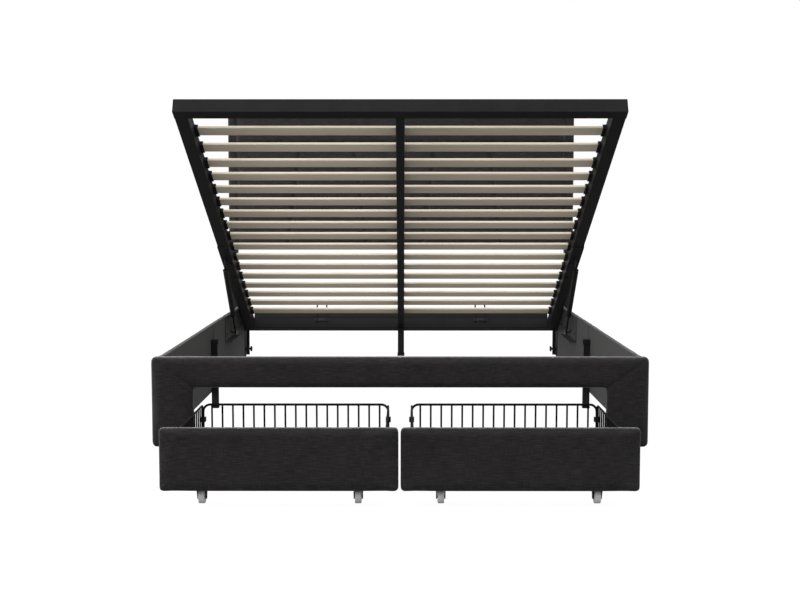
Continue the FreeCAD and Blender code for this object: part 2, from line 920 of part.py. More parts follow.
# Wire basket: floor on two steel strips over the casters, side and back panels held by clips
axle_z = wheel_radius
caster_top = wheel_radius * 2 + caster_wall + caster_side_gap
strip_top = caster_top + strip_thickness
floor_z = strip_top + bar_wire
wall_z = floor_z + frame_wire * 2 + wire_clear
wall_height = basket_top - wall_z
back_y = basket_back - frame_wire
side_x = drawer_width / 2 - basket_inset - frame_wire
side_front = drawer_front_depth + frame_wire + wire_clear
side_back = back_y - frame_wire * 2 - wire_clear
back_panel = grille(side_x * 2, wall_height)
back_panel.translate(point(drawer_x, back_y, wall_z))
side_panel = grille(side_back - side_front, wall_height)
side_panel.rotate(ORIGIN, Z_AXIS, QUARTER_TURN)
side_panels = []
for side in (-1, 1):
    panel = side_panel.copy()
    panel.translate(point(drawer_x + side * side_x, (side_front + side_back) / 2, wall_z))
    side_panels.append(panel)
floor_panel = grille(side_x * 2, back_y - side_front)
floor_panel.rotate(ORIGIN, X_AXIS, -QUARTER_TURN)
floor_panel.translate(point(drawer_x, side_front, floor_z))

clips = []
clip_z1 = basket_top - clip_from_top
clip_z0 = clip_z1 - clip_height
front_clip = (drawer_front_depth, side_front + clip_width / 2)
rear_clip = (side_back - clip_width / 2, back_y + clip_width / 2)
for side in (-1, 1):
    x = drawer_x + side * side_x
    for y0, y1 in (front_clip, rear_clip):
        clip = block(x - clip_width / 2, x + clip_width / 2, y0, y1, clip_z0, clip_z1)
        for wire in side_panels + [back_panel]:
            clip = clip.cut(wire)
        clips.append(clip)

caster_xs = (front_x0 + caster_from_end, front_x1 - caster_from_end)
caster_ys = (caster_from_front, basket_back - caster_from_back)
strips = []
housings = []
wheels = {}
well_half = wheel_width / 2 + caster_side_gap
housing_half = well_half + caster_wall
for row, y in zip(("front", "rear"), caster_ys):
    strips.append(
        block(
            drawer_x - side_x + strip_inset,
            drawer_x + side_x - strip_inset,
            y - strip_width / 2,
            y + strip_width / 2,
            caster_top,
            strip_top,
        )
    )
    wheels[row] = []
    for x in caster_xs:
        axle_ends = (point(x - housing_half, y, axle_z), point(x + housing_half, y, axle_z))
        outline = [
            point(x - housing_half, y - caster_boss, axle_z),
            point(x - housing_half, y + caster_boss, axle_z),
            point(x - housing_half, y + caster_top_length / 2, caster_top),
            point(x - housing_half, y - caster_top_length / 2, caster_top),
        ]
        body = Part.Face(Part.makePolygon(outline + outline[:1])).extrude(point(housing_half * 2, 0, 0))
        well = block(
            x - well_half,
            x + well_half,
            y - caster_top_length,
            y + caster_top_length,
            axle_z - caster_boss,
            caster_top - caster_wall,
        )
        fork = fused([body, rod(caster_boss, *axle_ends)]).cut(well)
        housings.append(fused([fork, rod(axle_radius, *axle_ends)]))
        half = wheel_width / 2
        wheel = rod(wheel_radius, point(x - half, y, axle_z), point(x + half, y, axle_z))
        bore_ends = (point(x - wheel_width, y, axle_z), point(x + wheel_width, y, axle_z))
        bore = rod(axle_radius + axle_gap, *bore_ends)
        wheels[row].append(wheel.cut(bore))

drawer_parts = {
    "drawer_front_board": [front_board],
    "drawer_front_cover": [front_cover],
    "basket_back": [back_panel],
    "basket_sides": side_panels,
    "basket_floor": [floor_panel],
    "basket_clips": clips,
    "caster_strips": strips,
    "caster_housings": housings,
    "caster_wheels_front": wheels["front"],
    "caster_wheels_rear": wheels["rear"],
}
for name, solids in drawer_parts.items():
    out = [pulled(s) for s in solids]
    add(name + "_right", *out)
    add(name + "_left", *[mirrored(s) for s in out])

# Every node is moved so that the origin lies on the floor under the middle of the whole bed
os.makedirs("parts", exist_ok=True)
for name, shape in nodes.items():
    shape.translate(point(0, -centre_y, 0))
    shape.exportStep("parts/" + name + ".step")

print("nodes", len(nodes))
print("origin is", round(centre_y, 3), "mm behind the foot panel's front")
print("pivot", round(pivot_y - centre_y, 3), round(pivot_z, 3))
print("strut base", round(strut_base_y - centre_y, 3), strut_base_z)
print("strut top", round(top_y - centre_y, 3), round(top_z, 3))
print("strut open", round(open_length, 3), "closed", round(closed_length, 3))
closed_turn = math.degrees(math.atan2(strut_base_y - cheek_y, cheek_z - strut_base_z))
print("strut turn open", round(strut_turn_deg, 4), "closed", round(closed_turn, 4))
for name, shape in nodes.items():
    bad = [i for i, solid in enumerate(shape.Solids) if not solid.isValid()]
    if bad or not shape.Solids:
        print("check", name, bad)
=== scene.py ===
import json
import math

import bmesh
import bpy
from mathutils import Matrix, Vector
from mathutils.bvhtree import BVHTree


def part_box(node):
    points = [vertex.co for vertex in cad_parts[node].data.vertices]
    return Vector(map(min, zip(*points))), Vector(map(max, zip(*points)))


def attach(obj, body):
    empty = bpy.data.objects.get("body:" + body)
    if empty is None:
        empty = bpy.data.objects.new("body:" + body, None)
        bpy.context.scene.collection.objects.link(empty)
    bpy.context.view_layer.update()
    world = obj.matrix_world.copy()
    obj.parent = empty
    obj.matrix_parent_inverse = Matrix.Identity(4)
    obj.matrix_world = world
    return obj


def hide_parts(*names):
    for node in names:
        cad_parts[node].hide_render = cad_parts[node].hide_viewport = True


# Storage bed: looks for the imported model, in metres, in its own frame.
# The foot is towards -Y and up is +Z.

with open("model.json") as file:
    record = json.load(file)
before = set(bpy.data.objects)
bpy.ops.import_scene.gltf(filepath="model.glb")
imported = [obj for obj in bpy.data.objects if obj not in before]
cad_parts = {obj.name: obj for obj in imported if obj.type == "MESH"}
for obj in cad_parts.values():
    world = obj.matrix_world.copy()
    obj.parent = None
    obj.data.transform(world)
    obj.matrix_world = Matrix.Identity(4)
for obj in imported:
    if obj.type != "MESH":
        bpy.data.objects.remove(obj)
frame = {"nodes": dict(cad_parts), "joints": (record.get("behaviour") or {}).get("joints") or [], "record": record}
nodes = frame["nodes"]
joints = {joint["name"]: joint for joint in frame["joints"]}
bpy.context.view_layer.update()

# Points closer than this count as one
NEAR = 1e-5

# Camera, as fitted to the photograph's edges
IMAGE_WIDTH = 800
IMAGE_HEIGHT = 600
FOCAL_PX = 1209.27
HORIZON_V = 201.5
VANISH_U = 402.8
SENSOR = 36.0
CAMERA_PLACE = Vector((0.0089, -4.6002, 0.832))
CAMERA_REACH = 180.0

# Studio light. The sky's strength falls to the ground's glow between two slopes under the horizon.
# Each lamp: name, place, target, size, power and whether glossy surfaces mirror it.
WHITE = (1, 1, 1, 1)
GROUND_GLOW = 0.24
SKY_FADE = (-0.14, -0.08)
FLOOR_SHADE = 0.10
FLOOR_ROUGHNESS = 0.9
FLOOR_GLOW = 0.93
FLOOR_REACH = 60.0
LAMPS = (
    ("front", (-2.2, -4.2, 3.4), (0.0, -0.4, 0.4), 3.0, 55.0, True),
    ("top", (0.0, 1.0, 5.0), (0.0, 0.0, 0.0), 4.0, 110.0, True),
    ("side", (-3.2, -0.5, 1.0), (0.76, 0.1, 0.2), 1.2, 90.0, False),
)

# Platform pose, read from its joint
lift = joints["platform_lift"]
PIVOT = Vector(lift["pos_m"])
TILT = math.radians(-lift["range_deg"][0])
LIFTED = Matrix.Translation(PIVOT) @ Matrix.Rotation(-TILT, 4, "X") @ Matrix.Translation(-PIVOT)

# Upholstery: mesh step, swell, rounding and seams
VOXEL = 0.006
WIDE_VOXEL = 0.010
SWELL = 0.004
RAIL_SWELL = 0.002
PAD_INSET = 0.0005
PANEL_EDGE = 0.015
DRAWER_EDGE = 0.010
RAIL_EDGE = 0.006
EDGE_SEGMENTS = 5
RAIL_LAP = 0.003
PAD_BACK_GAP = 0.0015
OPENING_HALF = 0.661
OPENING_TOP = 0.2375
MITRE_DEPTH = 0.0028
MITRE_SPREAD = 0.0045

# Cloth over foam, held along its stapled rim
STAPLED = "stapled"
PAD_FRAMES = 20
CLOTH = {
    "quality": 4,
    "mass": 0.3,
    "tension_stiffness": 25,
    "compression_stiffness": 25,
    "bending_stiffness": 4,
    "use_pressure": True,
    "uniform_pressure_force": 4.0,
    "vertex_group_mass": STAPLED,
}

# Sewn lines of the headboard. The channels' ends are shares of its half width.
BAND_FROM_TOP = 0.166
BORDER = 0.046
CHANNEL_TOP_SHARES = (-0.578, -0.274, 0.199, 0.506)
CHANNEL_BOTTOM_SHARES = (-0.656, -0.190, 0.119, 0.580)
CHANNEL_DEPTH = 0.013
CHANNEL_SPREAD = 0.010

# Stitches, and staples on the headboard's back, as rods in rows
STITCH = {"Pitch": 0.0085, "Half Length": 0.0029, "Radius": 0.0008}
STAPLE = {"Pitch": 0.045, "Half Length": 0.0055, "Radius": 0.0006}
ROD_SEGMENTS = 8
ROD_RINGS = 6
SEAM_STEP = 0.02
STAPLE_FROM_EDGE = 0.014

# Caps on the gas struts' tubes, which start at this distance from the foot pin
STRUT_TUBE_START = 0.1198
STRUT_CAP_LENGTH = 0.014
STRUT_CAP_RADIUS = 0.0125
STRUT_SEAL_RADIUS = 0.0075

# Hand knobs on the bolts that hold the rails to the headboard's brackets
KNOB_PLACE = (0.745, 1.2865, 0.113)
KNOB_SUNK = 0.002
KNOB_STEM_RADIUS = 0.0045
KNOB_STEM = 0.008
KNOB_RADIUS = 0.0135
KNOB_HEAD = 0.008
KNOB_BEVEL = 0.002
KNOB_LOBES = 6
KNOB_DIP = 0.12

# Turned pieces: steps round the axis, and the turn between faces that stays an edge
TURNED_STEPS = 32
LOBED_STEPS = 48
TURNED_SHARP = math.radians(40)

# Slats: the first gaps are wider than the rest
SLAT_COUNT = 17
FRONT_SLATS = 2
FRONT_SLAT_PITCH = 0.1147
SLAT_PITCH = 0.10305
SLAT_WIDTH = 0.050
SLAT_ROUND = 0.0030
SLAT_ROUND_POINTS = 5

# Rounded edges of steel, wood and plastic nodes, by width. Flatter turns are left as they are.
EASED = {
    0.0030: (
        "platform_foot_bar", "platform_head_bar", "platform_side_bar_left", "platform_side_bar_right",
    ),
    0.0020: ("platform_centre_beam", "centre_post", "mid_legs", "foot_legs", "headboard_legs"),
    0.0012: ("slat_end_holders", "slat_centre_caps", "floor_glides", "frame_tube_plugs"),
    0.0006: ("lift_angle_left", "lift_angle_right", "head_stop_strip", "rail_joint_plates"),
    0.0008: (
        "headboard_brackets", "foot_corner_brackets", "caster_strips_left", "caster_strips_right",
    ),
}
WHEEL_EDGE = 0.0025
EASE_SEGMENTS = 3
SHARP_TURN = math.radians(50)

# Dipped coat over the bare wire of the baskets' backs
WIRE_COAT = 0.0008

# Linen: thread pitch, noise cells per metre along and across, the share of each noise in the colour
# and how far each stands out
THREAD_PITCH = 0.0017
WEFT_CELLS = (28, 480)
WARP_CELLS = (700, 32)
CLOUD_CELLS = 9
WEFT_SHARE = 0.58
WARP_SHARE = 0.28
CLOUD_SHARE = 0.14
WEAVE_RELIEF = 0.35
WEFT_RELIEF = 0.5
WARP_RELIEF = 0.4
LINEN_TINT = (1.05, 0.96, 1.01)
LINEN_LEVELS = ((0.32, 0.0085), (0.50, 0.0205), (0.68, 0.0400))

# Birch ply: thickness of a pair of layers, noise cells per metre, shares of each and the colours
PLY_PAIR = 0.0037
GRAIN_CELLS = (5, 260, 90)
BOARD_CELLS = (0.4, 9.6)
GRAIN_SHARE = 0.55
BOARD_SHARE = 0.35
LAYER_SHARE = 0.05
LAYER_RELIEF = 0.2
BIRCH_COLOURS = (
    (0.25, (0.55, 0.46, 0.34)),
    (0.45, (0.71, 0.62, 0.49)),
    (0.70, (0.80, 0.73, 0.61)),
)

# Plain finishes: noise cells per metre, and the part of a noise's range that their greys spread over
PEEL_CELLS = 700
COAT_CLOUD_CELLS = 14
MOULD_CELLS = 900
MOULD_CLOUD_CELLS = 30
FIBRE_CELLS = 420
LINING_CLOUD_CELLS = 25
FIBRE_SHARE = 0.85
LINING_CLOUD_SHARE = 0.15
NOISE_LOW = 0.3
NOISE_HIGH = 0.7


class Value:
    """A node socket that takes part in Python sums. Each sum adds one Math node."""

    def __init__(self, finish, socket):
        self.finish = finish
        self.socket = socket

    def sum(self, operation, first, second=0.0):
        return self.finish.node("ShaderNodeMath", {"operation": operation}, {0: first, 1: second})

    def __add__(self, other):
        return self.sum("ADD", self, other)

    __radd__ = __add__

    def __sub__(self, other):
        return self.sum("SUBTRACT", self, other)

    def __mul__(self, other):
        return self.sum("MULTIPLY", self, other)

    def sine(self):
        return self.sum("SINE", self)


class Finish:
    """One material, built from its Principled shader outwards."""

    def __init__(self, name):
        self.material = bpy.data.materials.new(name)
        self.material.use_nodes = True
        self.tree = self.material.node_tree
        self.shader = self.tree.nodes["Principled BSDF"]

    def node(self, kind, settings, inputs, output=0):
        """Adds a node, sets it up, feeds its sockets and gives back one output or several."""
        made = self.tree.nodes.new(kind)
        for name, value in settings.items():
            if name == "stops":
                self.set_stops(made.color_ramp, value)
            else:
                setattr(made, name, value)
        for name, value in inputs.items():
            self.feed(made.inputs[name], value)
        if isinstance(output, tuple):
            return [Value(self, made.outputs[name]) for name in output]
        return Value(self, made.outputs[output])

    def set_stops(self, ramp, stops):
        while len(ramp.elements) < len(stops):
            ramp.elements.new(1.0)
        for element, (place, colour) in zip(ramp.elements, stops):
            element.position = place
            element.color = (*colour, 1.0)

    def feed(self, socket, value):
        if isinstance(value, Value):
            self.tree.links.new(value.socket, socket)
        else:
            socket.default_value = value

    def surface(self, inputs):
        for name, value in inputs.items():
            self.feed(self.shader.inputs[name], value)
        return self.material

    def place(self):
        """Object coordinates as three values."""
        coords = self.node("ShaderNodeTexCoord", {}, {}, "Object")
        return self.node("ShaderNodeSeparateXYZ", {}, {0: coords}, ("X", "Y", "Z"))

    def noise(self, x, y, z, detail):
        spot = self.node("ShaderNodeCombineXYZ", {}, {"X": x, "Y": y, "Z": z})
        inputs = {"Vector": spot, "Scale": 1.0, "Detail": detail}
        return self.node("ShaderNodeTexNoise", {}, inputs, "Fac")

    def speckle(self, place, cells, detail):
        """Noise that is alike in all directions."""
        x, y, z = place
        return self.noise(x * cells, y * cells, z * cells, detail)

    def ramp(self, value, *stops):
        return self.node("ShaderNodeValToRGB", {"stops": stops}, {"Fac": value}, "Color")

    def greys(self, value, dark, pale):
        return self.ramp(value, (NOISE_LOW, grey(dark)), (NOISE_HIGH, grey(pale)))

    def bump(self, height, strength, distance):
        inputs = {"Height": height, "Strength": strength, "Distance": distance}
        return self.node("ShaderNodeBump", {}, inputs, "Normal")


def grey(level):
    return (level, level, level)


def charcoal(level):
    """Dark grey with a trace of plum, as the cloth is dyed."""
    return tuple(level * tint for tint in LINEN_TINT)


# Finishes

def linen(name, along):
    """Charcoal linen-look cloth. Its threads run up the panel and along the named axis."""
    cloth = Finish(name)
    x, y, z = cloth.place()
    u = x if along == "x" else y
    v = z + (y if along == "x" else x)
    thread = math.tau / THREAD_PITCH
    weave = (u * thread).sine() * (v * thread).sine()
    weft = cloth.noise(u * WEFT_CELLS[0], v * WEFT_CELLS[1], z=0.0, detail=3.0)
    warp = cloth.noise(u * WARP_CELLS[0], v * WARP_CELLS[1], z=5.0, detail=3.0)
    cloud = cloth.noise(u * CLOUD_CELLS, v * CLOUD_CELLS, z=2.0, detail=3.0)
    heather = weft * WEFT_SHARE + warp * WARP_SHARE + cloud * CLOUD_SHARE
    colour = cloth.ramp(heather, *[(place, charcoal(level)) for place, level in LINEN_LEVELS])
    height = weave * WEAVE_RELIEF + weft * WEFT_RELIEF + warp * WARP_RELIEF
    return cloth.surface({
        "Base Color": colour,
        "Roughness": 0.86 + weft * 0.12,
        "Sheen Weight": 0.65,
        "Sheen Roughness": 0.28,
        "Specular IOR Level": 0.18,
        "Normal": cloth.bump(height, strength=0.55, distance=0.0012),
    })


def powder_coat(name, level, rough, gloss):
    """Baked black powder on steel, with a fine orange-peel texture."""
    coat = Finish(name)
    place = coat.place()
    peel = coat.speckle(place, PEEL_CELLS, detail=1.0)
    cloud = coat.speckle(place, COAT_CLOUD_CELLS, detail=3.0)
    return coat.surface({
        "Base Color": coat.greys(cloud, dark=level * 0.85, pale=level * 1.15),
        "Roughness": rough + cloud * 0.12,
        "Specular IOR Level": gloss,
        "Normal": coat.bump(peel, strength=0.12, distance=0.0005),
    })


def birch(name):
    """Pale birch ply, with the grain along each slat and its layers showing on the long edges."""
    wood = Finish(name)
    x, y, z = wood.place()
    up = z * math.cos(TILT) + y * math.sin(TILT)
    across = y * math.cos(TILT) - z * math.sin(TILT)
    grain = wood.noise(x * GRAIN_CELLS[0], across * GRAIN_CELLS[1], up * GRAIN_CELLS[2], detail=4.0)
    board = wood.noise(x * BOARD_CELLS[0], across * BOARD_CELLS[1], z=0.0, detail=1.0)
    layers = (up * (math.tau / PLY_PAIR)).sine()
    tone = grain * GRAIN_SHARE + board * BOARD_SHARE + layers * LAYER_SHARE
    return wood.surface({
        "Base Color": wood.ramp(tone, *BIRCH_COLOURS),
        "Roughness": 0.48 + grain * 0.20,
        "Normal": wood.bump(grain + layers * LAYER_RELIEF, strength=0.10, distance=0.0006),
    })


def moulded(name, level, rough, gloss):
    """Moulded plastic with a fine spark-eroded grain."""
    plastic = Finish(name)
    place = plastic.place()
    grain = plastic.speckle(place, MOULD_CELLS, detail=2.0)
    cloud = plastic.speckle(place, MOULD_CLOUD_CELLS, detail=2.0)
    return plastic.surface({
        "Base Color": plastic.greys(cloud, dark=level * 0.88, pale=level * 1.10),
        "Roughness": rough + grain * 0.15,
        "Specular IOR Level": gloss,
        "Normal": plastic.bump(grain, strength=0.16, distance=0.0004),
    })


def steel(name, level, rough, cells):
    """Bare or plated steel, clouded by its bath."""
    metal = Finish(name)
    cloud = metal.speckle(metal.place(), cells, detail=3.0)
    return metal.surface({
        "Base Color": metal.greys(cloud, dark=level * 0.8, pale=level),
        "Metallic": 1.0,
        "Roughness": rough + cloud * 0.12,
    })


def dust_cloth(name):
    """Black non-woven lining stapled over the boards' bare sides."""
    lining = Finish(name)
    place = lining.place()
    fibres = lining.speckle(place, FIBRE_CELLS, detail=4.0)
    cloud = lining.speckle(place, LINING_CLOUD_CELLS, detail=3.0)
    felt = fibres * FIBRE_SHARE + cloud * LINING_CLOUD_SHARE
    return lining.surface({
        "Base Color": lining.greys(felt, dark=0.028, pale=0.058),
        "Roughness": 0.80 + fibres * 0.15,
        "Normal": lining.bump(fibres, strength=0.25, distance=0.0006),
    })


LINEN_FRONT = linen("charcoal_linen_front", "x")
LINEN_SIDE = linen("charcoal_linen_side", "y")
STEEL_BLACK = powder_coat("black_powder_coat", level=0.0120, rough=0.46, gloss=0.12)
PLATE_GREY = powder_coat("graphite_powder_coat", level=0.030, rough=0.46, gloss=0.12)
WIRE_BLACK = powder_coat("black_wire_coat", level=0.0040, rough=0.42, gloss=0.05)
SLAT_BIRCH = birch("slat_birch")
PLASTIC_BLACK = moulded("black_plastic", level=0.0080, rough=0.42, gloss=0.12)
PLASTIC_GREY = moulded("grey_wheel_plastic", level=0.52, rough=0.36, gloss=0.30)
BLACK_ZINC = steel("black_zinc", level=0.035, rough=0.36, cells=160)
NITRIDED = steel("nitrided_rod", level=0.05, rough=0.22, cells=90)
LINING = dust_cloth("black_lining")
BLACK_WOOD = moulded("black_stained_wood", level=0.010, rough=0.45, gloss=0.20)
THREAD = moulded("charcoal_thread", level=0.050, rough=0.70, gloss=0.20)

SLOT_FINISH = {
    "charcoal_linen": LINEN_FRONT,
    "panel_board": LINING,
    "dark_wood": BLACK_WOOD,
    "black_steel": STEEL_BLACK,
    "black_wire": WIRE_BLACK,
    "zinc_steel": BLACK_ZINC,
    "nitrided_steel": NITRIDED,
    "slat_veneer": SLAT_BIRCH,
    "black_plastic": PLASTIC_BLACK,
    "grey_plastic": PLASTIC_GREY,
}


# Small helpers for meshes

def new_object(name, data):
    made = bpy.data.objects.new(name, data)
    bpy.context.scene.collection.objects.link(made)
    return made


def evaluated_mesh(thing):
    """The object's mesh with its modifiers worked in."""
    graph = bpy.context.evaluated_depsgraph_get()
    return bpy.data.meshes.new_from_object(thing.evaluated_get(graph))


def freeze(thing):
    """Works every modifier into the object's own mesh."""
    mesh = evaluated_mesh(thing)
    thing.modifiers.clear()
    thing.data = mesh
    return thing


def shade_smooth(mesh):
    for face in mesh.polygons:
        face.use_smooth = True


def joined(name, things):
    """One object out of several that all sit at the origin."""
    merged = bmesh.new()
    for thing in things:
        merged.from_mesh(thing.data)
        bpy.data.objects.remove(thing)
    mesh = bpy.data.meshes.new(name)
    merged.to_mesh(mesh)
    merged.free()
    shade_smooth(mesh)
    return new_object(name, mesh)


def finish_piece(piece, finish, body, slot, *replaced):
    piece.data.materials.clear()
    piece.data.materials.append(finish)
    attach(piece, body)
    if replaced:
        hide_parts(*replaced)


class Tree:
    """A geometry tree with named inputs, which ends in real geometry with one finish."""

    def __init__(self, name, inputs):
        self.group = bpy.data.node_groups.new(name, "GeometryNodeTree")
        self.keys = {}
        sockets = self.group.interface
        sockets.new_socket("Geometry", in_out="OUTPUT", socket_type="NodeSocketGeometry")
        sockets.new_socket("Geometry", in_out="INPUT", socket_type="NodeSocketGeometry")
        for title, kind in inputs.items():
            made = sockets.new_socket(title, in_out="INPUT", socket_type="NodeSocket" + kind)
            self.keys[title] = made.identifier
        self.given = self.group.nodes.new("NodeGroupInput").outputs

    def add(self, kind, inputs, output, **settings):
        """Adds a node, links or sets its inputs and gives back one output."""
        made = self.group.nodes.new(kind)
        for name, value in settings.items():
            setattr(made, name, value)
        for name, value in inputs.items():
            if isinstance(value, bpy.types.NodeSocket):
                self.group.links.new(value, made.inputs[name])
            else:
                made.inputs[name].default_value = value
        return made.outputs[output]

    def close(self, geometry):
        real = self.add("GeometryNodeRealizeInstances", {"Geometry": geometry}, "Geometry")
        coat = {"Geometry": real, "Material": self.given["Finish"]}
        coated = self.add("GeometryNodeSetMaterial", coat, "Geometry")
        result = self.group.nodes.new("NodeGroupOutput")
        self.group.links.new(coated, result.inputs["Geometry"])

    def run(self, name, mesh, values):
        """Runs the tree once on a mesh and keeps what it makes."""
        maker = new_object(name, mesh)
        modifier = maker.modifiers.new("tree", "NODES")
        modifier.node_group = self.group
        for title, value in values.items():
            modifier[self.keys[title]] = value
        return freeze(maker)


# Upholstered panels

FRONT = Matrix.Identity(4)
RIGHT = Matrix.Rotation(math.pi / 2, 4, "Z")
LEFT = Matrix.Rotation(-math.pi / 2, 4, "Z")


def pad_blank(name, corners, front, back, edge, voxel, facing=FRONT, square=()):
    """Closed pad before it swells, from (x, z) corners. Its back and square corners stay sharp."""
    form = bmesh.new()
    rear = form.faces.new([form.verts.new((x, back, z)) for x, z in corners])
    for made in bmesh.ops.extrude_face_region(form, geom=[rear])["geom"]:
        if isinstance(made, bmesh.types.BMVert):
            made.co.y = front
    bmesh.ops.recalc_face_normals(form, faces=form.faces)

    def is_round(line):
        a, b = [vert.co for vert in line.verts]
        if abs(a.y - b.y) > NEAR:
            return not any(abs(a.x - x) + abs(a.z - z) < NEAR for x, z in square)
        return abs(a.y - front) < NEAR

    lines = [line for line in form.edges if is_round(line)]
    bmesh.ops.bevel(form, geom=lines, offset=edge, segments=EDGE_SEGMENTS, profile=0.5, affect="EDGES")
    form.transform(facing)
    mesh = bpy.data.meshes.new(name)
    form.to_mesh(mesh)
    form.free()
    pad = new_object(name, mesh)
    remesh = pad.modifiers.new("even", "REMESH")
    remesh.mode = "VOXEL"
    remesh.voxel_size = voxel
    return freeze(pad)


def swell(pads):
    """Blows pads up as cloth over foam. Each is (object, way out, place of its back, most swell)."""
    scene = bpy.context.scene
    for pad, outward, back, _ in pads:
        rim = pad.vertex_groups.new(name=STAPLED)
        held = [v.index for v in pad.data.vertices if v.co.dot(outward) < back + SWELL]
        rim.add(held, 1.0, "REPLACE")
        cloth = pad.modifiers.new("foam", "CLOTH")
        for name, value in CLOTH.items():
            setattr(cloth.settings, name, value)
        cloth.settings.effector_weights.gravity = 0
        cloth.point_cache.frame_start = 1
        cloth.point_cache.frame_end = PAD_FRAMES
    for number in range(1, PAD_FRAMES + 1):
        scene.frame_set(number)
    for pad, outward, _, most in pads:
        start = [v.co.copy() for v in pad.data.vertices]
        freeze(pad)
        for vert, rest in zip(pad.data.vertices, start):
            rise = (vert.co - rest).dot(outward)
            vert.co = rest + outward * max(-most, min(most, rise))
    scene.frame_set(1)


def soften(piece):
    detail = piece.modifiers.new("smooth", "SUBSURF")
    detail.levels = 1
    detail.render_levels = 1
    freeze(piece)
    shade_smooth(piece.data)


def press_lines(pad, node, lines, depth, spread):
    """Draws a padded front back along each sewn line, given as ends in (x, z)."""
    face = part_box(node)[0].y + PANEL_EDGE
    for vert in pad.data.vertices:
        if vert.co.y > face:
            continue
        spot = Vector((vert.co.x, vert.co.z))
        pressed = 0.0
        for a, b in lines:
            along = b - a
            share = max(0.0, min(1.0, (spot - a).dot(along) / along.length_squared))
            off = (spot - a - along * share).length / spread
            pressed = max(pressed, depth * math.exp(-off * off))
        vert.co.y += pressed


def square_opening(pad):
    """Draws the arch's inner corners out of the drawers' opening, so that they stay square."""
    for vert in pad.data.vertices:
        aside = OPENING_HALF - abs(vert.co.x)
        above = OPENING_TOP - vert.co.z
        if min(aside, above) <= 0:
            continue
        if aside < above:
            vert.co.x += math.copysign(aside, vert.co.x)
        else:
            vert.co.z += above


def panel_corners(x0, x1, z0, z1):
    return [(x0, z0), (x1, z0), (x1, z1), (x0, z1)]


def inset(low, high):
    return low + PAD_INSET, high - PAD_INSET


def foot_panel_blank():
    """One arch of padding over the drawers."""
    low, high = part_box("foot_panel_covers")
    x0, x1 = inset(low.x, high.x)
    z0, z1 = inset(low.z, high.z)
    half = OPENING_HALF + PAD_INSET
    top = OPENING_TOP + PAD_INSET
    inner = [(-half, top), (half, top)]
    corners = [(x0, z0), (-half, z0), *inner, (half, z0), (x1, z0), (x1, z1), (x0, z1)]
    back = high.y - PAD_BACK_GAP
    return pad_blank("foot_pad", corners, low.y + SWELL, back, PANEL_EDGE, VOXEL, square=inner)


def mitre_lines():
    """Seams from the opening's corners to the foot panel's upper corners."""
    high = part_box("foot_panel_covers")[1]
    return [
        (Vector((side * OPENING_HALF, OPENING_TOP)), Vector((side * high.x, high.z)))
        for side in (-1, 1)
    ]


def rail_blanks(side):
    """Two padded boards of one rail, built facing the foot and then turned outwards."""
    low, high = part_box("side_rail_covers_" + side)
    middle = (low.y + high.y) / 2
    out = max(abs(low.x), abs(high.x))
    inner = min(abs(low.x), abs(high.x))
    facing = RIGHT if side == "right" else LEFT
    made = []
    for y0, y1 in ((low.y + PAD_INSET, middle + RAIL_LAP), (middle - RAIL_LAP, high.y - PAD_INSET)):
        ends = (y0, y1) if side == "right" else (-y1, -y0)
        corners = panel_corners(*ends, *inset(low.z, high.z))
        front = RAIL_SWELL - out
        back = -inner - PAD_BACK_GAP
        made.append(pad_blank("rail_pad", corners, front, back, RAIL_EDGE, VOXEL, facing))
    return made


def front_blank(name, node, edge, voxel):
    """Plain padded front in the place of a cover."""
    low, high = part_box(node)
    corners = panel_corners(*inset(low.x, high.x), *inset(low.z, high.z))
    return pad_blank(name, corners, low.y + SWELL, high.y - PAD_BACK_GAP, edge, voxel)


def headboard_lines():
    """Sewn lines: one under the top band, one inside each end and the sloping channels."""
    low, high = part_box("headboard_cover")
    half = high.x
    band = high.z - BAND_FROM_TOP
    lines = [((low.x, band), (high.x, band))]
    for side in (-1, 1):
        lines.append(((side * (half - BORDER), high.z), (side * (half - BORDER), low.z)))
    for top, bottom in zip(CHANNEL_TOP_SHARES, CHANNEL_BOTTOM_SHARES):
        lines.append(((half * top, band), (half * bottom, low.z)))
    return [(Vector(a), Vector(b)) for a, b in lines]


